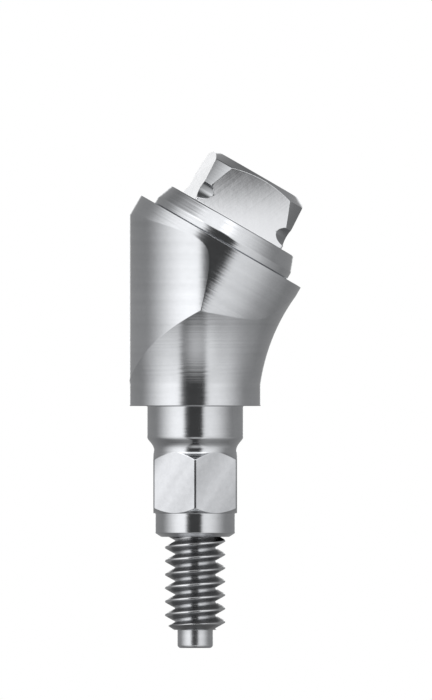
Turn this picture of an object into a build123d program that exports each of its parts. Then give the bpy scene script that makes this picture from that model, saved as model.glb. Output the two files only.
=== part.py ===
from build123d import *
from math import cos, radians, sin, tan
import os

os.makedirs("parts", exist_ok=True)

# Frame: origin at the centre of the implant platform plane, on the implant axis.
# +Z leaves the implant, +X is the side the angled head leans to. All sizes in mm.

# Small edge breaks and the overlap that lets neighbouring turned lengths fuse
EDGE_BREAK = 0.03
FUSE = 0.05

# Implant interface, depths below the platform plane
PLATFORM_D = 3.40
BAND_TOP = 0.58
CONNECTION_D = 2.50
CONNECTION_DEPTH = 0.815
RELIEF_DEPTH = 1.02
HEX_AF = 2.17
HEX_CORNER_D = 2.47
HEX_TOP_DEPTH = 1.216
HEX_END_DEPTH = 2.776
HEX_LEAD_RATIO = 0.80
PILOT_D = 2.07
PILOT_DEPTH = 3.39
PILOT_CHAMFER = (0.155, 0.10)

# Angled top: trunk turned about the vertical, collar turned about the tilted axis
TILT = 30.0
TOP_CENTRE = (0.660, 4.274)
TOP_D = 4.80
TRUNK_D = 4.85
TRUNK_PROUD = 0.01

# Flared shoulder: an arc from the band's top edge to just outside the collar's lowest rim.
# The arc's middle point is given as shares of its width and of its height.
FLARE_MID_SHARES = (0.308, 0.497)
FLARE_OVER_RIM = 0.013
FLARE_LAND = 0.04
COLLAR_BELOW_RIM = 1.02

# Connecting screw
THREAD_D = 1.57
THREAD_ROOT_D = 1.06
THREAD_PITCH = 0.35
THREAD_ANGLE = 60.0
THREAD_START_DEPTH = 3.20
THREAD_END_DEPTH = 5.80
THREAD_TOP_CHAMFER = (0.06, 0.06)
THREAD_LEAD = (0.24, 0.16)
CREST_DEPTH_AT_X = 3.4875
DOG_D = 0.92
DOG_DEPTH = 6.27
DOG_EDGE = ((0.0, 0.10), (0.02, 0.04), (0.07, 0.0))
SHANK_UNDER_ROOT = 0.01
SHANK_D = THREAD_ROOT_D - 2 * SHANK_UNDER_ROOT
SCREW_HEAD_D = 2.00
SCREW_HEAD_TOP = 2.30
SCREW_HEAD_CHAMFER = 0.10
SOCKET_AF = 1.25
SOCKET_DEPTH = 1.10

# Screw channel
SEAT_Z = 0.60
SEAT_GAP = 0.01
THREAD_CLEARANCE = 0.055
HEAD_CLEARANCE = 0.05
SCREW_HOLE_D = THREAD_D + 2 * THREAD_CLEARANCE
CHANNEL_D = SCREW_HEAD_D + 2 * HEAD_CLEARANCE

# Prosthetic head, heights above the tilted plane
FLANGE_D = 3.97
FLANGE_H = 0.20
FLANGE_TOP_D = 3.66
FLANGE_SINK = 0.04
FLANGE_GAP = 0.02
DRIVE_BASE = 0.606
DRIVE_TOP = 1.98
DRIVE_AF = 2.60
DRIVE_TURN = 8.0
DRIVE_CORNER_R = 1.823
DRIVE_CORNERS = ((DRIVE_CORNER_R, 0.70), (1.700, 1.223), (1.562, 1.793), (1.300, 1.920), (1.180, DRIVE_TOP))
UNDERCUT_R = 0.235
UNDERCUT_RING_R = 1.85
UNDERCUT_H = 0.94
STEM_D = 3.16
STEM_DEPTH = 0.95
STEM_LEAD = 0.08
STEM_GAP = 0.02
STEM_END_GAP = 0.05
TOP_HOLE_D = 1.10
TOP_HOLE_DEPTH = 2.30
TOP_HOLE_SINK = 0.10

ROOF = TOP_CENTRE[1] + TOP_D
LOW_RIM_R = TOP_CENTRE[0] + TOP_D / 2 * cos(radians(TILT))
LOW_RIM_Z = TOP_CENTRE[1] - TOP_D / 2 * sin(radians(TILT))


def turned(points):
    """Solid of revolution about Z from (radius, height) points that start and end on the axis."""
    outline = Polyline(*[(r, 0, z) for r, z in points], close=True)
    return revolve(make_face(outline), Axis.Z)


def rod(diameter, z_low, z_high):
    """Plain cylinder on the Z axis between two heights."""
    on_its_foot = (Align.CENTER, Align.CENTER, Align.MIN)
    return Pos(0, 0, z_low) * Cylinder(diameter / 2, z_high - z_low, align=on_its_foot)


def prism(across_flats, sides, z_low, z_high, turn=0.0):
    """Regular prism on the Z axis, sized across its flats, a corner on +X before the turn."""
    outline = RegularPolygon(across_flats / 2, sides, major_radius=False)
    return Pos(0, 0, z_low) * Rot(0, 0, turn) * extrude(outline, z_high - z_low)


def on_tilted_plane(shape):
    """Move a shape from the Z axis to the centre of the tilted plane and its axis."""
    return Location((TOP_CENTRE[0], 0, TOP_CENTRE[1]), (0, TILT, 0)) * shape


def flare():
    """Implant band and concave shoulder as one turned solid that runs on past the trunk."""
    r_band = PLATFORM_D / 2
    r_top = LOW_RIM_R + FLARE_OVER_RIM
    z_top = LOW_RIM_Z - FLARE_LAND
    r_mid = r_band + FLARE_MID_SHARES[0] * (r_top - r_band)
    z_mid = BAND_TOP + FLARE_MID_SHARES[1] * (z_top - BAND_TOP)
    band = Polyline(
        (0, 0, 0), (r_band - EDGE_BREAK, 0, 0), (r_band, 0, EDGE_BREAK), (r_band, 0, BAND_TOP)
    )
    bell = ThreePointArc((r_band, 0, BAND_TOP), (r_mid, 0, z_mid), (r_top, 0, z_top))
    way = bell % 1
    run = (TRUNK_D - r_top) / way.X
    rest = Polyline(
        (r_top, 0, z_top), (TRUNK_D, 0, z_top + run * way.Z), (TRUNK_D, 0, ROOF), (0, 0, ROOF), (0, 0, 0)
    )
    return revolve(make_face(Wire([*band.edges(), bell, *rest.edges()])), Axis.Z)


def mitred_top():
    """Flared trunk, straight above the band on its left, its top re-turned about the tilted axis."""
    trunk = Pos(TRUNK_D / 2 - PLATFORM_D / 2 - TRUNK_PROUD, 0, 0) * rod(TRUNK_D, -FUSE, ROOF)
    turning_room = rod(3 * TOP_D, LOW_RIM_Z - COLLAR_BELOW_RIM, ROOF)
    collar = on_tilted_plane(rod(TOP_D, -3 * TOP_D, 0))
    return (flare() & trunk) - (turning_room - collar)


def connection():
    """Implant plug: guide cylinder, relief, hex with turned corners and pilot."""
    r_plug = CONNECTION_D / 2
    r_flat = HEX_AF / 2
    r_corner = HEX_CORNER_D / 2
    r_pilot = PILOT_D / 2
    corner_cut = r_corner - r_flat
    plug = turned([
        (0, FUSE), (r_plug, FUSE), (r_plug, -CONNECTION_DEPTH), (r_flat, -RELIEF_DEPTH),
        (r_flat, -HEX_TOP_DEPTH), (0, -HEX_TOP_DEPTH),
    ])
    hex_bar = prism(HEX_AF, 6, -HEX_END_DEPTH, -HEX_TOP_DEPTH, turn=30)
    hex_limits = turned([
        (0, -HEX_TOP_DEPTH), (r_flat, -HEX_TOP_DEPTH), (r_corner, -HEX_TOP_DEPTH - corner_cut),
        (r_corner, -HEX_END_DEPTH + corner_cut * HEX_LEAD_RATIO), (r_flat, -HEX_END_DEPTH),
        (0, -HEX_END_DEPTH),
    ])
    pilot = turned([
        (0, -HEX_END_DEPTH), (r_pilot, -HEX_END_DEPTH), (r_pilot, -PILOT_DEPTH + PILOT_CHAMFER[1]),
        (r_pilot - PILOT_CHAMFER[0], -PILOT_DEPTH), (0, -PILOT_DEPTH),
    ])
    return plug + (hex_bar & hex_limits) + pilot


def screw_channel():
    """Stepped hole for the screw, open at the pilot and at the tilted plane, with the head's seats."""
    through = rod(SCREW_HOLE_D, -PILOT_DEPTH - FUSE, SEAT_Z + FUSE)
    room = rod(CHANNEL_D, SEAT_Z, ROOF)
    stem_seat = on_tilted_plane(rod(STEM_D + 2 * STEM_GAP, -STEM_DEPTH - STEM_END_GAP, FUSE))
    flange_seat = on_tilted_plane(rod(FLANGE_D + 2 * FLANGE_GAP, -FLANGE_SINK, FUSE))
    return through + room + stem_seat + flange_seat


def abutment_body():
    """One-piece body from the implant plug to the tilted plane."""
    return mitred_top() + connection() - screw_channel()


def thread_groove():
    """Right-hand helical V groove, placed so that a crest passes the +X side at its set height."""
    root = THREAD_ROOT_D / 2
    rim = THREAD_D / 2 + THREAD_CLEARANCE / 4
    half_width = (rim - root) * tan(radians(THREAD_ANGLE / 2))
    z_start = -CREST_DEPTH_AT_X - 7.5 * THREAD_PITCH
    path = Helix(THREAD_PITCH, THREAD_PITCH - THREAD_START_DEPTH - z_start, root, center=(0, 0, z_start))
    vee = Polyline(
        (root, 0, z_start), (rim, 0, z_start + half_width), (rim, 0, z_start - half_width), close=True
    )
    return sweep(make_face(vee), path=path, is_frenet=True)


def threaded_end():
    """Threaded length with its lead chamfer, and the dog point below it."""
    r_crest = THREAD_D / 2
    r_dog = DOG_D / 2
    blank = turned([
        (0, -THREAD_START_DEPTH), (r_crest - THREAD_TOP_CHAMFER[0], -THREAD_START_DEPTH),
        (r_crest, -THREAD_START_DEPTH - THREAD_TOP_CHAMFER[1]),
        (r_crest, -THREAD_END_DEPTH + THREAD_LEAD[1]),
        (r_crest - THREAD_LEAD[0], -THREAD_END_DEPTH), (0, -THREAD_END_DEPTH),
    ])
    edge = [(r_dog - inwards, -DOG_DEPTH + up) for inwards, up in DOG_EDGE]
    dog = turned([
        (0, -THREAD_END_DEPTH + FUSE), (r_dog, -THREAD_END_DEPTH + FUSE), *edge, (0, -DOG_DEPTH)
    ])
    return (blank - thread_groove()) + dog


def abutment_screw():
    """Captive screw: socket head on the seat, reduced shank, threaded end."""
    r_head = SCREW_HEAD_D / 2
    low = SEAT_Z + SEAT_GAP
    head = turned([
        (0, low), (r_head - EDGE_BREAK, low), (r_head, low + EDGE_BREAK),
        (r_head, SCREW_HEAD_TOP - SCREW_HEAD_CHAMFER), (r_head - SCREW_HEAD_CHAMFER, SCREW_HEAD_TOP),
        (0, SCREW_HEAD_TOP),
    ])
    socket = prism(SOCKET_AF, 6, SCREW_HEAD_TOP - SOCKET_DEPTH, SCREW_HEAD_TOP + FUSE)
    shank = rod(SHANK_D, -THREAD_START_DEPTH - FUSE, low + FUSE)
    return head - socket + shank + threaded_end()


def square_drive():
    """Square drive, a little turned, its corners coned and undercut, its top edge chamfered."""
    square = prism(DRIVE_AF, 4, DRIVE_BASE - FUSE, DRIVE_TOP, turn=45 + DRIVE_TURN)
    limits = turned([
        (0, DRIVE_BASE - FUSE), (DRIVE_CORNER_R, DRIVE_BASE - FUSE), *DRIVE_CORNERS, (0, DRIVE_TOP)
    ])
    undercut = Pos(0, 0, UNDERCUT_H) * Torus(UNDERCUT_RING_R, UNDERCUT_R)
    return (square & limits) - undercut


def prosthetic_head():
    """Flange cone, square drive and stem in one piece, with the threaded top hole."""
    r_flange = FLANGE_D / 2
    r_stem = STEM_D / 2
    r_hole = TOP_HOLE_D / 2
    flange = turned([
        (0, -FLANGE_SINK), (r_flange - EDGE_BREAK, -FLANGE_SINK), (r_flange, EDGE_BREAK - FLANGE_SINK),
        (r_flange, FLANGE_H),
        (FLANGE_TOP_D / 2, DRIVE_BASE), (0, DRIVE_BASE),
    ])
    stem = turned([
        (0, -STEM_DEPTH), (r_stem - STEM_LEAD, -STEM_DEPTH), (r_stem, -STEM_DEPTH + STEM_LEAD),
        (r_stem, FUSE), (0, FUSE),
    ])
    hole_end = DRIVE_TOP - TOP_HOLE_DEPTH
    hole = turned([
        (0, hole_end), (r_hole, hole_end), (r_hole, DRIVE_TOP - TOP_HOLE_SINK),
        (r_hole + 2 * TOP_HOLE_SINK, DRIVE_TOP + TOP_HOLE_SINK), (0, DRIVE_TOP + TOP_HOLE_SINK),
    ])
    return on_tilted_plane(flange + stem + square_drive() - hole)


NODES = {
    "abutment_body": abutment_body,
    "abutment_screw": abutment_screw,
    "prosthetic_head": prosthetic_head,
}

for name, build in NODES.items():
    export_step(build().solids()[0], f"parts/{name}.step")
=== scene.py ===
import logging
from collections.abc import Callable
from dataclasses import dataclass
from enum import Enum
from math import cos, pi, radians, sin, tan

import bpy
import numpy as np
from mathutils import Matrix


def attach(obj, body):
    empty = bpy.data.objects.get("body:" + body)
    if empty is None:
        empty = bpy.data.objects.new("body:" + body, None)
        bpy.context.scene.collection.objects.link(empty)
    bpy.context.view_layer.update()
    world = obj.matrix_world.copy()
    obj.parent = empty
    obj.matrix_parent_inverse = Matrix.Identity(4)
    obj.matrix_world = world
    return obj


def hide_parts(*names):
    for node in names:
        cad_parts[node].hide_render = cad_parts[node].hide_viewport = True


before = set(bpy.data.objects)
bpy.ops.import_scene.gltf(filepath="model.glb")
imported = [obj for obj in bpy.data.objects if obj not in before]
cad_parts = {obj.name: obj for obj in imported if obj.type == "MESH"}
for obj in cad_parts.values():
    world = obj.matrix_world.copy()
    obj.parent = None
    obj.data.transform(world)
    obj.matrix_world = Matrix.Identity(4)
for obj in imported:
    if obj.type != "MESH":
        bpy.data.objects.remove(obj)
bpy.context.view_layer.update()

log = logging.getLogger("abutment")

MM = 0.001
FULL_TURN = 2 * pi
AXIS_TILT = radians(30.0)
X_AXIS = (1.0, 0.0, 0.0)
Z_AXIS = (0.0, 0.0, 1.0)

Grid = np.ndarray
Size = Grid | float
Surface = Callable[[Grid], Grid]
Span = tuple[float, float]
Vector = tuple[float, float, float]
Object = bpy.types.Object
Material = bpy.types.Material


class Cut(Enum):
    """How a face was cut, which decides the marks that the tool left on it, and on some faces
    painted light or shade.

    TURNED and TILT_TURNED run round the implant axis and round the tilted axis, and
    TRUNK_TURNED is the trunk, with painted light that grows towards its foot. THREADED is the
    screw's thread, its flanks painted darker as shade, and DULLED its matt dog point. MILLED is
    for hexagons, with a painted sheen across their flats, SQUARED and CORNERED for the square
    head's sides, painted lighter as a highlight, and its corner cuts, painted darker as shade,
    and BORED for the channel.
    """

    TURNED = "turned"
    TRUNK_TURNED = "trunk_turned"
    TILT_TURNED = "tilt_turned"
    THREADED = "threaded"
    MILLED = "milled"
    SQUARED = "squared"
    CORNERED = "cornered"
    BORED = "bored"
    DULLED = "dulled"


class Break(Enum):
    """How wide a face's edges are broken, in mm."""

    SHARP = 0.004
    CRISP = 0.006
    FINE = 0.008
    LIGHT = 0.010
    PLAIN = 0.012
    SOFT = 0.014
    BROAD = 0.020


Dressing = dict[Cut, Material]


# -------- surfaces


def ring(radius: Size, height: Size, angle: Grid) -> Grid:
    """Points at a radius, a height and an angle about the vertical axis.

    Formula: (radius cos angle, radius sin angle, height), broadcast over any grids.

    Args:
        radius: Distances from the axis, in mm.
        height: Heights along the axis, in mm.
        angle: Angles about the axis, in radians.

    Returns:
        The points, with x, y and z in the last dimension.
    """
    radius, height, angle = np.broadcast_arrays(radius, height, angle)
    return np.stack([radius * np.cos(angle), radius * np.sin(angle), height], axis=-1)


def polygon(flat: float, sides: int, angle: Grid) -> Grid:
    """Distance from the middle to a regular polygon with a flat across angle 0.

    Formula: the flat's distance / cos of the angle to the nearest flat's middle.
    """
    half = pi / sides
    return flat / np.cos(np.mod(angle + half, 2 * half) - half)


def ellipse(middle: Size, half_x: float, half_y: float, angle: Grid) -> Grid:
    """Distance from the axis to an ellipse whose middle lies beside it, along X.

    Formula: the ray at an angle meets the ellipse at the positive root of
    ((r cos angle - middle) / half_x)^2 + (r sin angle / half_y)^2 = 1.

    Args:
        middle: The x of the ellipse's middle.
        half_x: Half of its width along X.
        half_y: Half of its width along Y.
        angle: Angles of the rays.

    Returns:
        The distance at each angle.
    """
    a = (np.cos(angle) / half_x) ** 2 + (np.sin(angle) / half_y) ** 2
    b = -2 * middle * np.cos(angle) / half_x**2
    c = (middle / half_x) ** 2 - 1
    return (-b + np.sqrt(b * b - 4 * a * c)) / (2 * a)


def soft_rise(value: Grid, blend: float) -> Grid:
    """0 below 0 and the value above, with a fillet between: blend ln(1 + exp(value / blend))."""
    return blend * np.log1p(np.exp(value / blend))


def crossing(rising: Surface, low: Grid, high: Grid) -> Grid:
    """Where a rising function changes sign, by halving the interval.

    Args:
        rising: A function that is negative below the crossing and positive above it.
        low: A value below the crossing, for each column.
        high: A value above it.

    Returns:
        The crossing for each column.
    """
    halvings = 50
    for _ in range(halvings):
        middle = (low + high) / 2
        above = rising(middle) > 0
        low, high = np.where(above, low, middle), np.where(above, middle, high)
    return (low + high) / 2


def angles(count: int, *special: float) -> Grid:
    """Even angles once round, with further ones where an edge has to lie.

    An even angle that lies closer to a special one than a fifth of a step gives way to it.

    Args:
        count: How many even steps.
        special: Further angles, in radians.

    Returns:
        Rising angles from 0 to a full turn, both ends included.
    """
    same, crowded, decimals = 1e-4, 0.2 * FULL_TURN / count, 9
    even = np.linspace(0.0, FULL_TURN, count + 1)
    extra = np.mod(np.array(special, float), FULL_TURN)
    apart = np.abs(extra[:, None] - even)
    keep = apart.min(axis=0, initial=FULL_TURN) > crowded
    keep[[0, -1]] = True
    far = apart.min(axis=1) > same
    return np.unique(np.round(np.concatenate([even[keep], extra[far]]), decimals))


def shown(name: str, data: bpy.types.ID) -> Object:
    """Make an object from a mesh or a camera and link it to the scene."""
    obj = bpy.data.objects.new(name, data)
    bpy.context.scene.collection.objects.link(obj)
    return obj


@dataclass(frozen=True)
class TiltedPlane:
    """The tilted top plane: its centre in mm, and its lean towards +X."""

    x: float = 0.660
    z: float = 4.274
    lean: float = AXIS_TILT

    def place(self, local: Grid) -> Grid:
        """Carry points from the upright frame to the tilted plane.

        Formula: turn about Y by the lean, then shift to the centre.
        """
        u, v, h = local[..., 0], local[..., 1], local[..., 2]
        c, s = cos(self.lean), sin(self.lean)
        return np.stack([self.x + u * c + h * s, v, self.z - u * s + h * c], axis=-1)

    def axis(self) -> Vector:
        """The tilted axis as a unit vector."""
        return (sin(self.lean), 0.0, cos(self.lean))


class Skin:
    """A closed surface made of faces that follow each other from one end to the other.

    Neighbouring faces stop short of their shared edge by a small width, and the strip
    between them is the broken edge. It takes no more than widest_break of a face's length.
    Points nearer than same_point, or equal to so many decimals of a mm, are one.
    """

    same_point: float = 1e-6
    decimals: int = 6
    shortest: float = 1e-9
    widest_break: float = 1 / 6

    def __init__(self, angle: Grid, place: Surface | None = None) -> None:
        """Start an empty skin.

        Args:
            angle: The columns' angles about the axis; the last one repeats the first.
            place: Carries the points to another frame, where they don't stand upright.
        """
        self.angle = angle
        self.place = place
        self.grids: list[Grid] = []
        self.cuts: list[Cut] = []
        self.edge = ring(0.0, 0.0, angle)

    def start(self, radius: Size, height: Size) -> None:
        """Set the edge from which the next straight face goes on."""
        self.edge = ring(radius, height, self.angle)

    def sheet(self, grid: Grid, cut: Cut) -> None:
        """Add a ready grid of points, such as a thread."""
        self.grids.append(self.place(grid) if self.place else grid)
        self.cuts.append(cut)
        self.edge = grid[-1]

    def pole(self, height: float, cut: Cut) -> None:
        """Add the point that closes a face on its axis, as a row of its own."""
        self.sheet(ring(0.0, height, self.angle)[None], cut)

    def sweep(self, surface: Surface, cut: Cut, broken: Break = Break.PLAIN, *, rows: int) -> None:
        """Add a face by its formula.

        Formula: rows at one and two widths of the broken edge from either end, and even
        steps between.

        Args:
            surface: Points by share of the way from the face's first edge to its last.
            cut: How the face was cut.
            broken: How wide its edges are broken.
            rows: How many even rows it has.
        """
        ends = surface(np.repeat([[0.0], [1.0]], len(self.angle), axis=1))
        length = np.linalg.norm(ends[1] - ends[0], axis=-1)
        width = np.minimum(broken.value / np.maximum(length, self.shortest), self.widest_break)
        even = np.linspace(0.0, 1.0, rows)[:, None]
        self.sheet(surface(np.vstack([width, 2 * width + (1 - 4 * width) * even, 1 - width])), cut)

    def rule(self, edge: Grid, cut: Cut, broken: Break = Break.PLAIN, *, rows: int) -> None:
        """Add the straight face from the last edge to a new one.

        Formula: start + share (end - start).
        """
        start = self.edge
        self.sweep(lambda share: start + share[..., None] * (edge - start), cut, broken, rows=rows)
        self.edge = edge

    def to(
        self, radius: Size, height: Size, cut: Cut, broken: Break = Break.PLAIN, *, rows: int
    ) -> None:
        """Add the straight face from the last edge to one round the axis."""
        self.rule(ring(radius, height, self.angle), cut, broken, rows=rows)

    def curve(
        self, radius: Surface, low: Size, high: Size, cut: Cut,
        broken: Break = Break.PLAIN, *, rows: int,
    ) -> None:
        """Add a face whose radius depends on the height.

        Formula: height = low + share (high - low), at the radius for that height.

        Args:
            radius: The distance from the axis by height.
            low: The height of the first edge, for each column.
            high: The height of the last edge.
            cut: How the face was cut.
            broken: How wide its edges are broken.
            rows: How many even rows it has.
        """

        def patch(share: Grid) -> Grid:
            """The face's points by share of its height."""
            height = low + share * (high - low)
            return ring(radius(height), height, self.angle)

        self.sweep(patch, cut, broken, rows=rows)

    def build(self, name: str, dressing: Dressing) -> Object:
        """Join the faces into one mesh object.

        Formula: rows are stacked, points that coincide are made one, and the quads between
        neighbouring rows and columns keep their order, which points them outwards.

        Args:
            name: The object's name.
            dressing: The material for each kind of cut.

        Returns:
            The object, at the origin, with its points in metres.
        """
        points = np.concatenate(self.grids)
        first, last = points[:, 0], points[:, -1]
        apart = np.linalg.norm(last - first, axis=-1, keepdims=True)
        points[:, -1] = np.where(apart < self.same_point, first, last)
        keys = np.round(points.reshape(-1, 3), self.decimals) + 0.0
        spots, index = np.unique(keys, axis=0, return_inverse=True)
        index = index.reshape(points.shape[:2])
        quads = [index[:-1, :-1], index[:-1, 1:], index[1:, 1:], index[1:, :-1]]
        order = list(dict.fromkeys(self.cuts))
        faces, slots = self.drop_flat(
            np.stack(quads, axis=-1).reshape(-1, 4), self.owners(order).ravel()
        )
        mesh = bpy.data.meshes.new(name)
        mesh.from_pydata((spots * MM).tolist(), [], faces)
        mesh.polygons.foreach_set("material_index", slots.astype(np.int32))
        mesh.polygons.foreach_set("use_smooth", np.ones(len(faces), bool))
        for cut in order:
            mesh.materials.append(dressing[cut])
        mesh.update()
        return shown(name, mesh)

    def owners(self, order: list[Cut]) -> Grid:
        """The material slot of each quad.

        Formula: a quad has its face's slot, and the strip between two faces has the slot of
        the face that is longer in that column.

        Args:
            order: The kinds of cut in the order of the slots.

        Returns:
            Slots by row and column.
        """
        own = [order.index(cut) for cut in self.cuts]
        rows = np.repeat(own, [len(grid) for grid in self.grids])[:-1]
        slots = np.repeat(rows[:, None], len(self.angle) - 1, axis=1)
        spans = [np.linalg.norm(grid[-1] - grid[0], axis=-1)[:-1] for grid in self.grids]
        strip = -1
        for k, grid in enumerate(self.grids[:-1]):
            strip += len(grid)
            slots[strip] = np.where(spans[k + 1] > spans[k], own[k + 1], own[k])
        return slots

    @staticmethod
    def drop_flat(quads: Grid, slots: Grid) -> tuple[list[list[int]], Grid]:
        """Leave out quads with no area, and make triangles of those with one doubled corner.

        Args:
            quads: Four point numbers a face.
            slots: The material slot of each face.

        Returns:
            The faces that are left, and their slots.
        """
        same = quads == np.roll(quads, -1, axis=1)
        doubled = same.sum(axis=1)
        opposite = (quads[:, 0] == quads[:, 2]) | (quads[:, 1] == quads[:, 3])
        whole = (doubled == 0) & ~opposite
        three = (doubled == 1) & ~opposite
        corners = quads[three][~same[three]].reshape(-1, 3)
        faces = quads[whole].tolist() + corners.tolist()
        return faces, np.concatenate([slots[whole], slots[three]])


# -------- pieces


@dataclass(frozen=True)
class Body:
    """The one-piece body, from the pilot to the tilted plane, hollow for the screw.

    Sizes are in mm. The flare ends above flare_least, the collar has at least the share
    peak_least above the trunk, and flattest keeps a tangent off 0. The last fields say where
    columns stand closer: the range of angles that is searched for the branch point, how many
    columns lie before it, and the start, stop and step in degrees of those past it.
    """

    platform_r: float = 1.70
    band_top: float = 0.58
    plug_r: float = 1.25
    plug_depth: float = 0.835
    relief_depth: float = 1.04
    neck_r: float = 1.068
    hex_flat_r: float = 1.085
    hex_corner_r: float = 1.237
    hex_top: float = -1.216
    hex_end: float = -2.776
    hex_lead: float = 0.80
    neck_blend: float = 0.035
    plug_blend: float = 0.040
    plug_round: float = 0.018
    plug_rounds: float = 4.0
    pilot_r: float = 1.035
    pilot_end: float = -3.39
    pilot_chamfer: Span = (0.155, 0.10)
    top_r: float = 2.40
    trunk_r: float = 2.425
    trunk_proud: float = 0.01
    flare_mid: Span = (0.308, 0.497)
    flare_over: float = 0.013
    flare_land: float = 0.04
    flare_least: float = 1.8
    peak_least: float = 0.3
    flattest: float = 1e-6
    seat_r: float = 2.005
    seat_depth: float = 0.04
    stem_seat_r: float = 1.60
    stem_seat_depth: float = 1.00
    channel_r: float = 1.05
    channel_floor: float = 0.60
    hole_r: float = 0.84
    top: TiltedPlane = TiltedPlane()
    columns: int = 224
    branch_range: tuple[float, float, int] = (1.2, 1.57, 200001)
    branch_columns: int = 13
    near_branch: Vector = (0.16, 4.0, 0.16)
    past_branch: Vector = (4.0, 9.0, 0.4)

    def flare_circle(self) -> Vector:
        """The circle of the flare's profile through its lower, middle and upper point.

        Formula: the centre is where the chords' perpendicular bisectors cross.

        Returns:
            The centre's radius and height, and the circle's radius.
        """
        low = np.array([self.platform_r, self.band_top])
        high = np.array([
            self.top.x + self.top_r * cos(AXIS_TILT) + self.flare_over,
            self.top.z - self.top_r * sin(AXIS_TILT) - self.flare_land,
        ])
        middle = low + np.array(self.flare_mid) * (high - low)
        sides = 2 * np.array([middle - low, high - low])
        sums = np.array([middle @ middle - low @ low, high @ high - low @ low])
        centre = np.linalg.solve(sides, sums)
        return float(centre[0]), float(centre[1]), float(np.linalg.norm(low - centre))

    def flare_radius(self, height: Grid) -> Grid:
        """Radius of the flared shoulder: the near side of the profile's circle."""
        r_centre, z_centre, circle = self.flare_circle()
        return r_centre - np.sqrt(np.maximum(circle**2 - (height - z_centre) ** 2, 0.0))

    def flare_height(self, radius: Grid) -> Grid:
        """Height at which the flared shoulder has a radius: its profile turned round."""
        r_centre, z_centre, circle = self.flare_circle()
        return z_centre + np.sqrt(np.maximum(circle**2 - (r_centre - radius) ** 2, 0.0))

    def trunk_radius(self, angle: Grid) -> Grid:
        """Distance from the implant axis to the trunk, a cylinder whose axis is to the right."""
        shift = self.trunk_r - self.platform_r - self.trunk_proud
        return ellipse(shift, self.trunk_r, self.trunk_r, angle)

    def collar_radius(self, angle: Grid, height: Grid) -> Grid:
        """Distance from the implant axis to the collar, turned about the tilted axis.

        Formula: a level cut of the tilted cylinder is an ellipse that is longer along X by
        1 / cos of the tilt, and its centre moves with height by tan of the tilt.
        """
        middle = self.top.x + (height - self.top.z) * tan(AXIS_TILT)
        return ellipse(middle, self.top_r / cos(AXIS_TILT), self.top_r, angle)

    def rim_radius(self, angle: Grid) -> Grid:
        """Distance from the implant axis to the tilted rim, seen from above as an ellipse."""
        return ellipse(self.top.x, self.top_r * cos(AXIS_TILT), self.top_r, angle)

    def rim_height(self, angle: Grid) -> Grid:
        """Height of the tilted rim: the tilted plane at the rim's x."""
        return self.top.z - (self.rim_radius(angle) * np.cos(angle) - self.top.x) * tan(AXIS_TILT)

    def collar_peak(self, angle: Grid) -> Grid:
        """Height at which the collar is farthest from the implant axis.

        Formula: the ray touches the tilted cylinder's side where y is the collar's radius,
        so x is that radius / tan of the angle, and the cylinder's axis passes over it there.
        """
        slope = np.maximum(np.abs(np.tan(angle)), self.flattest) * np.sign(np.cos(angle))
        return self.top.z + (self.top_r / slope - self.top.x) / tan(AXIS_TILT)

    def junctions(self, angle: Grid) -> tuple[Grid, Grid, Grid]:
        """Where the flare ends, where the trunk starts and where it ends, at each angle.

        Between the flare and the trunk, and from the trunk to the rim, the collar shows.
        The trunk's two heights are the same where it doesn't show.

        Args:
            angle: The columns' angles.

        Returns:
            The flare's upper height, the trunk's lower height and its upper height.
        """

        def proud(height: Grid) -> Grid:
            """How far the collar stands out past the trunk."""
            return self.collar_radius(angle, height) - trunk

        rim = self.rim_height(angle)
        trunk = self.trunk_radius(angle)
        meet = crossing(
            lambda height: self.flare_radius(height) - self.collar_radius(angle, height),
            np.full_like(angle, self.flare_least), rim,
        )
        flare_end = np.minimum(self.flare_height(trunk), meet)
        highest = rim - self.peak_least * (rim - flare_end)
        peak = np.clip(self.collar_peak(angle), flare_end, highest)
        shows = proud(peak) > 0
        low = crossing(proud, flare_end, peak)
        high = crossing(lambda height: -proud(height), peak, rim)
        return flare_end, np.where(shows, low, peak), np.where(shows, high, peak)

    def neck_radius(self, height: Grid) -> Grid:
        """Radius of the neck, which runs out in a small fillet to the 45 degree corner cone.

        Formula: neck + a soft rise with the depth below the hexagon's top, and the same
        towards the plug's cone with its own blend and slope; a soft rise that is taken
        away breaks the cone's edge with the plug.

        Args:
            height: Heights on the neck.

        Returns:
            The radius at each height.
        """
        low = soft_rise(self.hex_top - height, self.neck_blend)
        slope = (self.plug_r - self.neck_r) / (self.relief_depth - self.plug_depth)
        high = soft_rise(height + self.relief_depth, self.plug_blend)
        grown = self.neck_r + low + slope * high
        return grown - soft_rise(grown - self.plug_r, self.plug_round)

    def neck_height(self, radius: Grid) -> Grid:
        """The neck's lower profile turned round."""
        grown = np.expm1((radius - self.neck_r) / self.neck_blend)
        return self.hex_top - self.neck_blend * np.log(grown)

    def corner_angles(self) -> list[float]:
        """Angles of the hexagon's corners and of the edges of their turned lands."""
        land = np.arccos(self.hex_flat_r / self.hex_corner_r)
        return [pi / 3 * k + side for k in range(6) for side in (-land, land, pi / 6)]

    def branch_angles(self) -> list[float]:
        """Where columns stand close, about the point in which flare, trunk and collar meet.

        Formula: the trunk shows from the angle at which the collar's greatest distance,
        its radius / sin of the angle, is the trunk's distance; from there to the branch
        point the steps grow with the square of their number.

        Returns:
            The angles, at both sides.
        """
        fine = np.linspace(*self.branch_range)
        trunk = self.trunk_radius(fine)
        bulge = fine[np.argmin(np.abs(self.top_r / np.sin(fine) - trunk))]
        gap = np.abs(self.collar_radius(fine, self.flare_height(trunk)) - trunk)
        branch = fine[np.argmin(gap)]
        past = np.concatenate([np.arange(*self.near_branch), np.arange(*self.past_branch)])
        near = bulge + (branch - bulge) * np.linspace(0.0, 1.0, self.branch_columns) ** 2
        one_side = np.concatenate([near, branch + np.radians(past)])
        return [*one_side, *(-one_side)]

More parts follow.
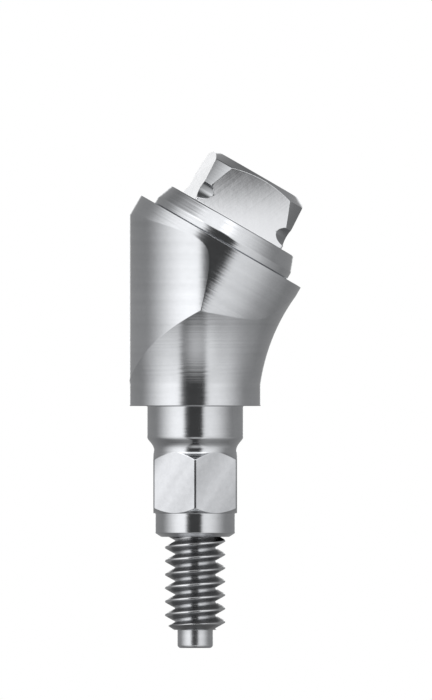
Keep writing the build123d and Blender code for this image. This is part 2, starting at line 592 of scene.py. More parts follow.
    def outside(self, skin: Skin) -> None:
        """Add the outer faces, from the foot of the pilot to the tilted rim.

        Args:
            skin: The body's skin.
        """
        angle = skin.angle
        across, up = self.pilot_chamfer
        hexagon = np.minimum(polygon(self.hex_flat_r, 6, angle), self.hex_corner_r)
        hex_low = self.hex_end + (hexagon - self.hex_flat_r) * self.hex_lead
        hex_high = self.neck_height(hexagon)
        plug_low = self.plug_rounds * self.plug_round - self.plug_depth
        flare_end, trunk_low, trunk_high = self.junctions(angle)
        trunk = self.trunk_radius(angle)
        bare = np.minimum(trunk, self.collar_radius(angle, trunk_low))

        def collar(height: Grid) -> Grid:
            """The collar's radius, nowhere outside the trunk's."""
            return np.minimum(self.collar_radius(angle, height), trunk)

        turned, tilt_turned = Cut.TURNED, Cut.TILT_TURNED
        skin.start(self.hole_r, self.pilot_end)
        skin.to(self.pilot_r - across, self.pilot_end, turned, Break.CRISP, rows=2)
        skin.to(self.pilot_r, self.pilot_end + up, turned, rows=3)
        skin.to(self.pilot_r, self.hex_end, turned, rows=10)
        skin.to(self.hex_flat_r, self.hex_end, turned, Break.FINE, rows=2)
        skin.to(hexagon, hex_low, turned, Break.FINE, rows=4)
        skin.to(hexagon, hex_high, Cut.MILLED, Break.LIGHT, rows=14)
        skin.curve(self.neck_radius, hex_high, plug_low, turned, Break.LIGHT, rows=30)
        skin.start(self.plug_r, plug_low)
        skin.to(self.plug_r, 0.0, turned, Break.FINE, rows=10)
        skin.to(self.platform_r, 0.0, turned, Break.SOFT, rows=5)
        skin.to(self.platform_r, self.band_top, turned, Break.SOFT, rows=10)
        skin.curve(self.flare_radius, self.band_top, flare_end, turned, Break.LIGHT, rows=44)
        skin.curve(collar, flare_end, trunk_low, tilt_turned, Break.LIGHT, rows=24)
        skin.start(bare, trunk_low)
        skin.to(bare, trunk_high, Cut.TRUNK_TURNED, Break.LIGHT, rows=36)
        rim = self.rim_height(angle)
        skin.curve(collar, trunk_high, rim, tilt_turned, Break.CRISP, rows=28)

    def inside(self, skin: Skin) -> None:
        """Add the top land, the head's seats and the screw channel, down to the pilot's foot.

        Each is ruled between two edges; on the tilted plane a column keeps the angle that
        its rim point has about the tilted axis.

        Args:
            skin: The body's skin.
        """
        angle, squeeze = skin.angle, cos(AXIS_TILT)
        rim = self.rim_radius(angle)
        turn = np.arctan2(rim * np.sin(angle), (rim * np.cos(angle) - self.top.x) / squeeze)
        turn = np.unwrap(turn)
        floor = -self.stem_seat_depth
        foot_x = self.top.x + floor * sin(AXIS_TILT)
        mouth_r = ellipse(-foot_x / squeeze, self.channel_r / squeeze, self.channel_r, turn)

        def tilted(radius: Size, height: float) -> Grid:
            """The edge with a radius and a height about the tilted axis."""
            return self.top.place(ring(radius, height, turn))

        mouth = tilted(mouth_r, floor)
        spin = np.unwrap(np.arctan2(mouth[:, 1], mouth[:, 0]))
        spin = spin + FULL_TURN * np.round((angle[0] - spin[0]) / FULL_TURN)
        low = self.channel_floor

        def hole(share: Grid) -> Grid:
            """The hole's wall, whose columns turn back to the angles of the outside."""
            height = low + share * (self.pilot_end - low)
            return ring(self.hole_r, height, spin + share * (angle - spin))

        bored, tilt_turned = Cut.BORED, Cut.TILT_TURNED
        skin.edge = tilted(self.top_r, 0.0)
        skin.rule(tilted(self.seat_r, 0.0), tilt_turned, Break.CRISP, rows=5)
        skin.rule(tilted(self.seat_r, -self.seat_depth), tilt_turned, Break.CRISP, rows=2)
        skin.rule(tilted(self.stem_seat_r, -self.seat_depth), tilt_turned, Break.CRISP, rows=4)
        skin.rule(tilted(self.stem_seat_r, floor), bored, rows=6)
        skin.rule(mouth, bored, rows=5)
        skin.rule(ring(self.channel_r, low, spin), bored, rows=10)
        skin.rule(ring(self.hole_r, low, spin), bored, rows=3)
        skin.sweep(hole, bored, Break.CRISP, rows=20)

    def build(self, dressing: Dressing) -> Object:
        """Make the body's closed skin.

        Args:
            dressing: The material for each kind of cut.

        Returns:
            The mesh object.
        """
        skin = Skin(angles(self.columns, *self.corner_angles(), *self.branch_angles()))
        self.outside(skin)
        self.inside(skin)
        skin.sheet(skin.grids[0][:1], Cut.TURNED)
        return skin.build("body_metal", dressing)


@dataclass(frozen=True)
class Screw:
    """The captive screw: dog point, thread, shank and socket head.

    Sizes are in mm. The last fields place the thread's rows: the width over which its
    edges are broken, the share of the crest's half at which a row lies, the rows on a
    flank, and the first and last turn counted from the crest.
    """

    dog_r: float = 0.46
    dog_end: float = -6.27
    dog_round: float = 0.09
    thread_r: float = 0.785
    root_r: float = 0.530
    pitch: float = 0.35
    thread_top: float = -3.20
    thread_end: float = -5.80
    top_chamfer: float = 0.06
    lead: Span = (0.24, 0.16)
    crest_at_x: float = -3.4875
    crest_flat: float = 0.038
    root_flat: float = 0.030
    shank_r: float = 0.52
    head_r: float = 1.00
    head_low: float = 0.61
    head_top: float = 2.30
    head_chamfer: float = 0.10
    socket_flat_r: float = 0.625
    socket_floor: float = 1.20
    columns: int = 144
    soft: float = 0.006
    crest_row: float = 0.4
    flank_rows: int = 5
    turns: tuple[int, int] = (-9, 2)

    def limit(self, height: Grid) -> Grid:
        """The turned blank's radius: the thread's radius, less the chamfers at both ends.

        Args:
            height: Heights on the thread.

        Returns:
            The radius at each height.
        """
        across, up = self.lead
        foot = self.thread_r - across + (height - self.thread_end) * across / up
        crown = self.thread_r - self.top_chamfer + (self.thread_top - height)
        return np.minimum(np.minimum(foot, crown), self.thread_r)

    def profile(self, offset: Grid) -> Grid:
        """The thread's radius beside a crest.

        Formula: flat on the crest, straight down the flank, flat in the root.

        Args:
            offset: Distance from the crest along the axis.

        Returns:
            The radius at each distance.
        """
        away = np.abs(np.mod(offset + self.pitch / 2, self.pitch) - self.pitch / 2)
        start = self.crest_flat / 2
        end = self.pitch / 2 - self.root_flat / 2
        return np.interp(away, [start, end], [self.thread_r, self.root_r])

    def thread(self, angle: Grid) -> Grid:
        """The threaded length as a grid whose rows follow the helix.

        Formula: height = row + pitch angle / full turn, clipped to the thread's ends, and
        radius = the smaller of the profile at that row and the blank at that height.

        Args:
            angle: The columns' angles.

        Returns:
            The grid of points; its last column meets its first, one pitch further on.
        """
        crest, valley, soft = self.crest_flat / 2, (self.pitch - self.root_flat) / 2, self.soft
        side = np.concatenate([
            [self.crest_row * crest, crest - soft, crest + soft],
            np.linspace(crest + 2 * soft, valley - 2 * soft, self.flank_rows),
            [valley - soft, valley + soft],
        ])
        steps = np.concatenate([-side[::-1], side])
        first, last = self.turns
        crests = self.crest_at_x + np.arange(first, last + 1) * self.pitch
        climb = self.pitch * angle / FULL_TURN
        rows = (crests[:, None] + steps).reshape(-1, 1)
        height = np.clip(rows + climb, self.thread_end, self.thread_top)
        radius = np.minimum(self.profile(height - climb - self.crest_at_x), self.limit(height))
        return ring(radius, height, angle)

    def rounding(self, share: Grid, angle: Grid) -> Grid:
        """The dog point's rounded edge.

        Formula: a quarter circle from the end face to the side.
        """
        sweep = share * pi / 2
        radius = self.dog_r - self.dog_round * (1 - np.sin(sweep))
        return ring(radius, self.dog_end + self.dog_round * (1 - np.cos(sweep)), angle)

    def build(self, dressing: Dressing) -> Object:
        """Make the screw's closed skin from its dog point to the floor of its socket.

        Args:
            dressing: The material for each kind of cut.

        Returns:
            The mesh object.
        """
        angle = angles(self.columns)
        socket = polygon(self.socket_flat_r, 6, angle)
        thread = self.thread(angle)
        dog, low, high, floor = self.dog_end, self.head_low, self.head_top, self.socket_floor
        dulled, turned, milled = Cut.DULLED, Cut.TURNED, Cut.MILLED
        skin = Skin(angle)
        skin.pole(dog, dulled)
        skin.to(self.dog_r - self.dog_round, dog, dulled, Break.CRISP, rows=3)
        skin.sweep(lambda share: self.rounding(share, angle), dulled, Break.CRISP, rows=6)
        skin.start(self.dog_r, dog + self.dog_round)
        skin.to(self.dog_r, self.thread_end, dulled, Break.CRISP, rows=6)
        skin.rule(thread[0], dulled, Break.CRISP, rows=2)
        skin.sheet(thread, Cut.THREADED)
        skin.to(self.shank_r, self.thread_top, turned, Break.SHARP, rows=2)
        skin.to(self.shank_r, low, turned, rows=12)
        skin.to(self.head_r, low, turned, Break.BROAD, rows=4)
        skin.to(self.head_r, high - self.head_chamfer, turned, Break.BROAD, rows=8)
        skin.to(self.head_r - self.head_chamfer, high, turned, rows=3)
        skin.to(socket, high, turned, rows=3)
        skin.to(socket, floor, milled, rows=6)
        skin.to(0.0, floor, milled, rows=3)
        skin.pole(floor, milled)
        return skin.build("screw_metal", dressing)


@dataclass(frozen=True)
class Head:
    """The prosthetic head: stem, flange cone and square drive with its threaded hole.

    Sizes are in mm above the tilted plane. The last fields are the even columns, and the
    degrees from a flat's middle at which further ones follow the corner cuts.
    """

    stem_r: float = 1.58
    stem_depth: float = 0.95
    stem_lead: float = 0.08
    flange_r: float = 1.985
    flange_sink: float = 0.04
    flange_h: float = 0.20
    flange_break: float = 0.02
    flange_foot: Span = (0.004, 0.024)
    flange_top_r: float = 1.83
    drive_base: float = 0.606
    drive_flat_r: float = 1.30
    drive_turn: float = radians(8.0)
    corner_line: tuple[Span, ...] = (
        (1.823, 0.70), (1.700, 1.223), (1.562, 1.793), (1.300, 1.920), (1.180, 1.980)
    )
    notch_ring_r: float = 1.85
    notch_r: float = 0.235
    notch_h: float = 0.94
    hole_r: float = 0.55
    hole_major_r: float = 0.68
    hole_mouth: float = 0.10
    hole_end: float = -0.32
    hole_pitch: float = 0.30
    hole_flat: float = 0.03
    hole_lead: float = 1.2
    hole_spare: int = 2
    top: TiltedPlane = TiltedPlane()
    columns: int = 200
    corner_columns: tuple[float, ...] = (
        34.0, 35.5, 36.5, 37.5, 38.5, 39.5, 40.5, 41.5, 42.5, 43.5
    )

    def turned_limit(self, height: Grid) -> Grid:
        """Radius of the blank: straight lines between the corners' outline points."""
        radii, heights = np.array(self.corner_line).T
        return np.interp(height, heights, radii)

    def turned_height(self, radius: Grid) -> Grid:
        """The blank's outline turned round."""
        radii, heights = np.array(self.corner_line)[::-1].T
        return np.interp(radius, radii, heights)

    def notch_wall(self, height: Grid) -> Grid:
        """Radius of the turned notch.

        Formula: ring radius - sqrt(notch radius^2 - (distance from its middle)^2).
        """
        away = np.minimum(np.abs(height - self.notch_h), self.notch_r)
        return self.notch_ring_r - np.sqrt(self.notch_r**2 - away**2)

    def notch_end(self, square: Grid, side: float) -> Grid:
        """Height where the notch leaves the square or its turned corner.

        Without a notch it is the middle's height.

        Args:
            square: Distance to the square at each column.
            side: 1 for the upper end and -1 for the lower end.

        Returns:
            The height for each column.
        """

        def above(away: Grid) -> Grid:
            """How far the notch's wall stands outside the metal, away from its middle."""
            height = self.notch_h + side * away
            return self.notch_wall(height) - np.minimum(square, self.turned_limit(height))

        edge = np.full_like(square, self.notch_r)
        return self.notch_h + side * crossing(above, np.zeros_like(square), edge)

    def hole_thread(self, turn: Grid, high: float) -> Grid:
        """The hole's thread as a grid whose rows follow the helix, from the mouth down.

        Formula: as the screw's thread, with the grooves cut outwards from the hole's wall
        and running out towards both ends.

        Args:
            turn: The columns' angles.
            high: The height at which the thread starts under the mouth.

        Returns:
            The grid of points about the upright axis.
        """
        pitch, half, flat = self.hole_pitch, self.hole_pitch / 2, self.hole_flat
        steps = np.array([flat - half, -half / 2, -flat, flat, half / 2, half - flat])
        last = int((high - self.hole_end) / pitch) + self.hole_spare
        roots = self.hole_end + (np.arange(last, -self.hole_spare - 1, -1) + 0.5) * pitch
        climb = pitch * turn / FULL_TURN
        rows = (roots[:, None] - steps).reshape(-1, 1)
        height = np.clip(rows + climb, self.hole_end, high)
        away = np.abs(np.mod(height - climb - self.hole_end, pitch) - half)
        radius = np.interp(away, [flat, half - flat], [self.hole_major_r, self.hole_r])
        run_out = np.minimum(high - height, height - self.hole_end) * self.hole_lead
        return ring(np.minimum(radius, self.hole_r + run_out), height, turn)

    def build(self, dressing: Dressing) -> Object:
        """Make the head's closed skin from its stem to the floor of its hole.

        Args:
            dressing: The material for each kind of cut.

        Returns:
            The mesh object.
        """
        radii, heights = np.array(self.corner_line).T
        near = np.radians(self.corner_columns)
        land = np.arccos(self.drive_flat_r / radii[0])
        off = [*near, *(-near), land, -land, pi / 4]
        turn = angles(
            self.columns, *[self.drive_turn + pi / 2 * k + one for k in range(4) for one in off]
        )
        square = np.minimum(polygon(self.drive_flat_r, 4, turn - self.drive_turn), radii[0])
        notch_low, notch_high = self.notch_end(square, -1.0), self.notch_end(square, 1.0)
        wall_end = np.maximum(self.turned_height(square), notch_high)
        top = float(heights[-1])
        thread = self.hole_thread(turn, top - self.hole_mouth)

        def wall(height: Grid) -> Grid:
            """The square's radius, nowhere outside the blank's."""
            return np.minimum(square, self.turned_limit(height))

        def notch(height: Grid) -> Grid:
            """The notch's radius, nowhere outside the square's."""
            return np.minimum(self.notch_wall(height), square)

        tilt_turned, squared, cornered = Cut.TILT_TURNED, Cut.SQUARED, Cut.CORNERED
        foot_r, sink = self.flange_r - self.flange_break, -self.flange_sink
        foot, rise = self.flange_foot
        skin = Skin(turn, self.top.place)
        skin.pole(-self.stem_depth, tilt_turned)
        skin.to(self.stem_r - self.stem_lead, -self.stem_depth, tilt_turned, rows=3)
        skin.to(self.stem_r, self.stem_lead - self.stem_depth, tilt_turned, rows=3)
        skin.to(self.stem_r, sink, tilt_turned, rows=8)
        skin.to(foot_r, sink, tilt_turned, Break.BROAD, rows=4)
        skin.to(foot_r, foot, tilt_turned, Break.SHARP, rows=3)
        skin.to(self.flange_r, rise, tilt_turned, Break.SHARP, rows=2)
        skin.to(self.flange_r, self.flange_h, tilt_turned, Break.FINE, rows=6)
        skin.to(self.flange_top_r, self.drive_base, tilt_turned, Break.SOFT, rows=8)
        skin.to(square, self.drive_base, tilt_turned, Break.FINE, rows=6)
        skin.curve(wall, self.drive_base, notch_low, squared, Break.LIGHT, rows=6)
        skin.curve(notch, notch_low, notch_high, cornered, Break.FINE, rows=16)
        skin.curve(wall, notch_high, wall_end, squared, Break.LIGHT, rows=14)
        skin.start(wall(wall_end), wall_end)
        for radius, cut, broken, rows in (
            (radii[1], cornered, Break.FINE, 4),
            (radii[2], cornered, Break.FINE, 6),
            (radii[3], tilt_turned, Break.SOFT, 5),
            (radii[4], tilt_turned, Break.SOFT, 4),
        ):
            inner = np.minimum(square, radius)
            skin.to(inner, self.turned_height(inner), cut, broken, rows=rows)
        skin.to(self.hole_r + self.hole_mouth, top, tilt_turned, Break.LIGHT, rows=6)
        skin.rule(thread[0], tilt_turned, Break.LIGHT, rows=3)
        skin.sheet(thread, tilt_turned)
        skin.to(0.0, self.hole_end, tilt_turned, rows=3)
        skin.pole(self.hole_end, tilt_turned)
        return skin.build("head_metal", dressing)


# -------- shaders


@dataclass(frozen=True)
class Shade:
    """A shader socket on which arithmetic adds Math nodes, with numbers at either side."""

    graph: "Graph"
    socket: bpy.types.NodeSocket

    def math(self, operation: str, *others: "Shade | float") -> "Shade":
        """Add one Math node on this value."""
        values = dict(enumerate((self, *others)))
        return self.graph.node("ShaderNodeMath", {"operation": operation}, values).out(0)

    def __add__(self, other: "Shade | float") -> "Shade":
        """Sum with another value at either side."""
        return self.math("ADD", other)

    def __mul__(self, other: "Shade | float") -> "Shade":
        """Product with another value at either side."""
        return self.math("MULTIPLY", other)

    __radd__ = __add__
    __rmul__ = __mul__

    def __sub__(self, other: "Shade | float") -> "Shade":
        """This value less the other."""
        return self.math("SUBTRACT", other)

    def __rsub__(self, other: float) -> "Shade":
        """A number less this value."""
        return -self + other

    def __neg__(self) -> "Shade":
        """Minus this value."""
        return self * -1.0

    def ramp(self, low: float, high: float) -> "Shade":
        """Smooth rise from 0 at low to 1 at high, or a fall where high is less than low.

        Args:
            low: The value that gives 0.
            high: The value that gives 1.

        Returns:
            The result.
        """
        if high < low:
            return 1.0 - self.ramp(high, low)
        settings = {"interpolation_type": "SMOOTHSTEP"}
        sockets = {0: self, 1: low, 2: high, 3: 0.0, 4: 1.0}
        return self.graph.node("ShaderNodeMapRange", settings, sockets).out(0)


@dataclass(frozen=True)
class Node:
    """A node of a graph, whose outputs are read as shades."""

    graph: "Graph"
    node: bpy.types.Node

    def out(self, name: str | int) -> Shade:
        """Read an output."""
        return Shade(self.graph, self.node.outputs[name])


class Graph:
    """A node tree that is filled by calls."""

    def __init__(self, tree: bpy.types.NodeTree) -> None:
        """Empty the tree and keep it."""
        self.tree = tree
        tree.nodes.clear()

    def node(self, kind: str, settings: dict | None = None, sockets: dict | None = None) -> Node:
        """Add one node, set it and fill its sockets.

        Args:
            kind: The node's type.
            settings: Its own settings, set before its sockets.
            sockets: A value or a shade for each socket, by name or number.

        Returns:
            The node.
        """
        made = self.tree.nodes.new(kind)
        for key, value in (settings or {}).items():
            setattr(made, key, value)
        for key, value in (sockets or {}).items():
            if isinstance(value, Shade):
                self.tree.links.new(value.socket, made.inputs[key])
            else:
                made.inputs[key].default_value = value
        return Node(self, made)

    def vector(self, operation: str, sockets: dict, output: str | int = 0) -> Shade:
        """Add one Vector Math node and read its result."""
        return self.node("ShaderNodeVectorMath", {"operation": operation}, sockets).out(output)


def painted(name: str, sockets: Callable[[Graph], dict[str, object]]) -> Material:
    """Make a material with one surface shader.

    Args:
        name: The material's name.
        sockets: Adds the nodes before the shader and gives the shader's sockets.

    Returns:
        The material.
    """
    material = bpy.data.materials.new(name)
    material.use_nodes = True
    graph = Graph(material.node_tree)
    shader = graph.node("ShaderNodeBsdfPrincipled", None, sockets(graph)).out(0)
    graph.node("ShaderNodeOutputMaterial", None, {"Surface": shader})
    return material


@dataclass(frozen=True)
class Metal:
    """Bare titanium with the fine marks of one kind of cut; for some cuts its colour carries
    painted light or shade.

    Tool marks run round the line axis: noise that changes only along it, fine and coarse,
    and a cloudy noise that breaks the lines up a little; on milled faces the coarse lines' tint
    is a painted sheen. Depths are in metres, rates in lines a mm, places in mm and angles in
    radians; the rest are shares. A waver sways the normal line by line, a twist bends it across
    a flat, lighter is the heights between which the metal is painted lighter as painted light,
    and flank the radii of a thread's root and crest, between which the flanks are painted darker
    as shade.
    """

    name: str
    colour: Vector
    roughness: float
    line_axis: Vector = Z_AXIS
    line_depth: float = 1.8e-6
    line_rate: float = 16.0
    line_detail: float = 3.0
    coarse_parts: float = 6.0
    coarse_detail: float = 2.0
    coarse_depth: float = 0.8
    coarse_rough: float = 0.06
    mottle: float = 0.5e-6
    cloud_scale: float = 7.0
    cloud_detail: float = 4.0
    cloud_fade: float = 0.6
    cloud_rough: float = 0.10
    cloud_tint: float = 0.4
    shade_spread: float = 0.05
    # Tint of the coarse lines; on milled faces it is a painted sheen.
    streak_and_sheen: float = 0.7
    waver: float = 0.0
    twist: float = 0.0
    twist_at: Span = (0.0, 0.0)
    # Heights between which the colour is painted lighter, as painted light on the trunk.
    lighter: Span | None = None
    painted_light_tint: float = 0.36
    flank: Span | None = None
    # How dark a thread's flanks are painted, as shade.
    flank_painted_shade: float = 0.40
    flank_rough: float = 0.16
    flank_parts: float = 5.0

    def build(self) -> Material:
        """Make the material."""
        return painted(self.name, self.sockets)

    def sockets(self, graph: Graph) -> dict[str, object]:
        """Add the nodes of the tool marks.

        Formula: the marks' height is fine + coarse lines and clouds; the roughness and the
        tint follow the coarse lines and the clouds, and on a thread its flanks too, whose colour
        is painted darker as shade; where set, painted light grows between two heights.

        Args:
            graph: The material's graph.

        Returns:
            The shader's sockets.
        """
        metres = graph.node("ShaderNodeTexCoord").out("Object")
        place = graph.vector("SCALE", {0: metres, 3: 1 / MM})
        along = self.along(graph, place, self.line_axis)
        fine = self.lines(graph, along, self.line_rate, self.line_detail)
        coarse = self.lines(graph, along, self.line_rate / self.coarse_parts, self.coarse_detail)
        cloud = graph.node(
            "ShaderNodeTexNoise", {"noise_dimensions": "3D"},
            {"Vector": place, "Scale": self.cloud_scale, "Detail": self.cloud_detail,
             "Roughness": self.cloud_fade},
        ).out(0)
        height = (fine + coarse * self.coarse_depth) * self.line_depth + cloud * self.mottle
        if self.twist:
            side = self.along(graph, place, X_AXIS) - self.twist_at[0]
            rise = self.along(graph, place, Z_AXIS) - self.twist_at[1]
            height = height + side * rise * (self.twist * MM)
        normal = graph.node(
            "ShaderNodeBump", None, {"Strength": 1.0, "Distance": 1.0, "Height": height}
        ).out(0)
        if self.waver:
            normal = self.wavering(graph, normal, (fine - 0.5) * self.waver)
        uneven, cloudy = coarse - 0.5, cloud - 0.5
        rough = self.roughness + cloudy * self.cloud_rough + uneven * self.coarse_rough
        # Tint from the coarse lines and clouds; on milled faces the diagonal coarse lines are a
        # painted sheen.
        light = uneven * self.streak_and_sheen + cloudy * self.cloud_tint + 0.5
        # Painted light: the colour grows lighter between two heights.
        if self.lighter:
            painted_glow = self.along(graph, place, Z_AXIS).ramp(*self.lighter)
            light = light + painted_glow * self.painted_light_tint
        dark = 1 - self.shade_spread
        # A thread's flanks are rougher, and their colour is painted darker as shade.
        if self.flank:
            flank_rough_and_shaded = self.flank_share(graph, place)
            rough = rough + flank_rough_and_shaded * self.flank_rough
            light = light * (1.0 - flank_rough_and_shaded)
            dark = self.flank_painted_shade
        tint = graph.node(
            "ShaderNodeMix", {"data_type": "RGBA"},
            {0: light, 6: self.tone(dark), 7: self.tone(1 + self.shade_spread)},
        ).out(2)
        return {"Base Color": tint, "Metallic": 1.0, "Roughness": rough, "Normal": normal}

    def tone(self, factor: float) -> tuple[float, float, float, float]:
        """The metal's colour, lighter or darker."""
        return (*(min(1.0, c * factor) for c in self.colour), 1.0)

    def wavering(self, graph: Graph, normal: Shade, sway: Shade) -> Shade:
        """Turn the normal a little round the axis, by another amount for each tool line.

        Formula: normal + sway (axis x normal), made one unit long again.

        Args:
            graph: The material's graph.
            normal: The normal with its bumps.
            sway: How far it turns.

        Returns:
            The new normal.
        """
        across = graph.vector("CROSS_PRODUCT", {0: self.line_axis, 1: normal})
        step = graph.vector("SCALE", {0: across, 3: sway})
        total = graph.vector("ADD", {0: normal, 1: step})
        return graph.vector("NORMALIZE", {0: total})

    def flank_share(self, graph: Graph, place: Shade) -> Shade:
        """Find a thread's flanks, which are cut rougher and painted darker as shade.

        Args:
            graph: The material's graph.
            place: The place in mm.

        Returns:
            1 on the flanks, and 0 on the roots and crests.
        """
        split = graph.node("ShaderNodeSeparateXYZ", None, {0: place})
        x, y = split.out(0), split.out(1)
        radius = (x * x + y * y).math("SQRT")
        root, crest = self.flank
        soft = (crest - root) / self.flank_parts
        return radius.ramp(root, root + soft) * radius.ramp(crest, crest - soft)

    @staticmethod
    def along(graph: Graph, place: Shade, axis: Vector) -> Shade:
        """Distance along an axis, by the dot product."""
        return graph.vector("DOT_PRODUCT", {0: place, 1: axis}, "Value")

    @staticmethod
    def lines(graph: Graph, along: Shade, rate: float, detail: float) -> Shade:
        """Noise that changes only along the axis."""
        sockets = {"W": along * rate, "Scale": 1.0, "Detail": detail}
        return graph.node("ShaderNodeTexNoise", {"noise_dimensions": "1D"}, sockets).out(0)


# -------- studio


@dataclass(frozen=True)
class Glow:
    """A soft light panel of the studio tent, in degrees left or right of the camera."""

    level: float
    rise: Span
    fall: Span

    def window(self, angle: Shade) -> Shade:
        """Smooth rise at the panel's near edge times a smooth fall at its far edge."""
        return angle.ramp(*self.rise) * angle.ramp(self.fall[1], self.fall[0])


@dataclass(frozen=True)
class Studio:
    """White tent, pale floor and level camera.

    The floor's height, the camera's aim and the height of its frame are in mm, the other
    distances in metres, and the tent's edges in degrees.
    """

    floor_z: float = -6.27
    floor_half: float = 0.6
    floor_paint: float = 0.9
    aim: Span = (0.539, 1.452)
    frame_height: float = 18.135
    stand_back: float = 0.08
    clip: Span = (0.001, 5.0)
    left: Glow = Glow(1.16, (20.0, 32.0), (42.0, 112.0))
    right: Glow = Glow(0.88, (13.0, 25.0), (34.0, 102.0))
    over: Glow = Glow(1.40, (24.0, 40.0), (56.0, 72.0))
    over_left: Span = (150.0, 0.0)
    over_right: Span = (60.0, 20.0)
    under: Glow = Glow(0.64, (12.0, 36.0), (38.0, 72.0))
    under_left: Span = (-34.0, 0.0)
    under_right: Span = (52.0, 2.0)
    low: Glow = Glow(0.13, (32.0, 62.0), (95.0, 128.0))
    low_down: Span = (4.0, 26.0)
    backdrop: Glow = Glow(0.95, (-4.0, 0.0), (14.0, 22.0))
    backdrop_edge: Span = (160.0, 167.0)
    reach_up: Span = (62.0, 26.0)
    left_down: Span = (-100.0, 6.0)
    right_down: Span = (-94.0, 12.0)
    shell: float = 0.26
    shell_edge: Span = (13.0, 28.0)
    gap: float = 0.07
    dim: float = 0.4

    def tent(self) -> None:
        """Set the world: brightness by direction, and plain white where the camera looks past.

        Formula: panels at the left, right, above, below and behind, each a window in one
        angle times its limits in the other, on a dim shell with a gap towards the camera.
        """
        world = bpy.data.worlds.new("studio_tent")
        bpy.context.scene.world = world
        world.use_nodes = True
        graph = Graph(world.node_tree)
        ray = graph.node("ShaderNodeTexCoord").out("Generated")
        split = graph.node("ShaderNodeSeparateXYZ", None, {0: ray})
        x, y, z = split.out(0), split.out(1), split.out(2)
        side = x.math("ARCTAN2", -y) * (180 / pi)
        rise = z.math("ARCSINE") * (180 / pi)
        away = side.math("ABSOLUTE")
        high = rise.ramp(*self.reach_up)
        tall = high * rise.ramp(*self.left_down)
        left = self.left.window(-side) * tall * self.left.level
        right = self.right.window(side) * high * rise.ramp(*self.right_down) * self.right.level
        width = (-side).ramp(*self.over_left) * side.ramp(*self.over_right)
        over = self.over.window(rise) * width * self.over.level
        back = self.backdrop.window(rise) * away.ramp(*self.backdrop_edge) * self.backdrop.level
        width = side.ramp(*self.under_left) * side.ramp(*self.under_right)
        under = self.under.window(-rise) * width * self.under.level
        low = self.low.window(side) * (-rise).ramp(*self.low_down) * self.low.level
        shell = away.ramp(*self.shell_edge) * self.shell + self.gap
        shell = shell * (tall * (1 - self.dim) + self.dim)
        level = left + right + over + under + low + back + shell
        seen = graph.node("ShaderNodeLightPath").out("Is Camera Ray")
        level = level + seen * (1.0 - level)
        white = {"Color": (1.0, 1.0, 1.0, 1.0), "Strength": level}
        background = graph.node("ShaderNodeBackground", None, white)
        graph.node("ShaderNodeOutputWorld", None, {"Surface": background.out(0)})

    def floor(self) -> Object:
        """Lay the pale floor under the screw's point.

        Returns:
            The floor.
        """
        half, z, paint = self.floor_half, self.floor_z * MM, self.floor_paint
        corners = [(x * half, y * half, z) for x, y in ((-1, -1), (1, -1), (1, 1), (-1, 1))]
        mesh = bpy.data.meshes.new("floor")
        mesh.from_pydata(corners, [], [(0, 1, 2, 3)])
        pale = {"Base Color": (paint, paint, paint, 1.0), "Roughness": paint}
        mesh.materials.append(painted("floor_paint", lambda graph: pale))
        obj = shown("floor", mesh)
        obj.visible_glossy = False
        return obj

    def camera(self) -> None:
        """Set the level camera that looks along +Y with no perspective."""
        data = bpy.data.cameras.new("camera")
        data.type = "ORTHO"
        data.ortho_scale = self.frame_height * MM
        data.clip_start, data.clip_end = self.clip
        obj = shown("camera", data)
        obj.location = (self.aim[0] * MM, -self.stand_back, self.aim[1] * MM)
        obj.rotation_euler = (pi / 2, 0.0, 0.0)
        bpy.context.scene.camera = obj

    def build(self) -> None:
        """Set up the whole studio."""
        self.tent()
        self.floor()
        self.camera()
        bpy.context.scene.view_settings.view_transform = "Standard"


# -------- assembly


@dataclass(frozen=True)
class Piece:
    """Where a finished piece belongs: its CAD node, its body and its material slot, which is not
    used.
    """

    node: str
    body: str
    slot: str

    def claim(self, obj: Object) -> None:
        """Put an object in the CAD node's place.

        Args:
            obj: The finished piece.
        """
        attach(obj, self.body)
        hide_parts(self.node)
        log.info("%s: %d faces for %s", obj.name, len(obj.data.polygons), self.node)


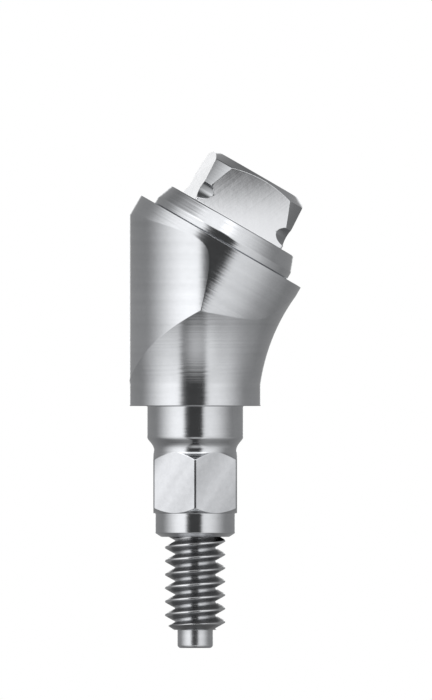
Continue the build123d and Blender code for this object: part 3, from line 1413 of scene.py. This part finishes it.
def finishes() -> Dressing:
    """Make the metal for each kind of cut.

    Returns:
        The materials.
    """
    tilted = TiltedPlane().axis()
    grey = (0.590, 0.601, 0.620)
    metals = {
        Cut.TURNED: Metal("titanium_turned", grey, 0.14, waver=0.045, shade_spread=0.16),
        # The trunk carries painted light, lighter towards its foot.
        Cut.TRUNK_TURNED: Metal(
            "titanium_trunk_painted_light", grey, 0.14, waver=0.022, shade_spread=0.16, lighter=(4.3, 2.2)
        ),
        Cut.TILT_TURNED: Metal(
            "titanium_tilt_turned", grey, 0.14, tilted, waver=0.045, shade_spread=0.16
        ),
        # Its flanks, between the two radii, are painted darker as shade.
        Cut.THREADED: Metal(
            "titanium_threaded_painted_flank_shade", (0.84, 0.85, 0.87), 0.15, waver=0.06, flank=(0.55, 0.758)
        ),
        # Its coarse lines run diagonally across the flats, and their strong tint is a painted
        # sheen.
        Cut.MILLED: Metal(
            "titanium_milled_painted_sheen", (0.560, 0.570, 0.590), 0.24, (0.85, 0.0, -0.53),
            line_depth=0.9e-6, line_rate=6.0, mottle=0.9e-6, shade_spread=0.40, streak_and_sheen=1.6,
        ),
        # Lighter than the other titanium: a painted highlight on the square's sides.
        Cut.SQUARED: Metal(
            "titanium_squared_painted_highlight", (0.78, 0.79, 0.81), 0.22, (0.6, 0.0, -0.8),
            line_depth=0.7e-6, line_rate=14.0, mottle=1.2e-6, twist=0.095, twist_at=(1.5, 6.0),
        ),
        # Darker than the other titanium: painted shade in the notches and corner cuts.
        Cut.CORNERED: Metal(
            "titanium_cornered_painted_shade", (0.40, 0.408, 0.42), 0.26, tilted,
            line_depth=1.0e-6, mottle=1.0e-6,
        ),
        Cut.BORED: Metal("titanium_bored", grey, 0.30),
        Cut.DULLED: Metal(
            "titanium_dulled", grey, 0.25, line_depth=1.2e-6, mottle=1.6e-6, shade_spread=0.3
        ),
    }
    return {cut: metal.build() for cut, metal in metals.items()}


def main() -> None:
    """Build the studio and the three pieces."""
    logging.basicConfig(level=logging.INFO, format="%(name)s: %(message)s")
    dressing = finishes()
    Studio().build()
    Piece("abutment_body", "abutment", "titanium_body").claim(Body().build(dressing))
    Piece("prosthetic_head", "abutment", "titanium_head").claim(Head().build(dressing))
    Piece("abutment_screw", "screw", "titanium_screw").claim(Screw().build(dressing))


if __name__ == "__main__":
    main()
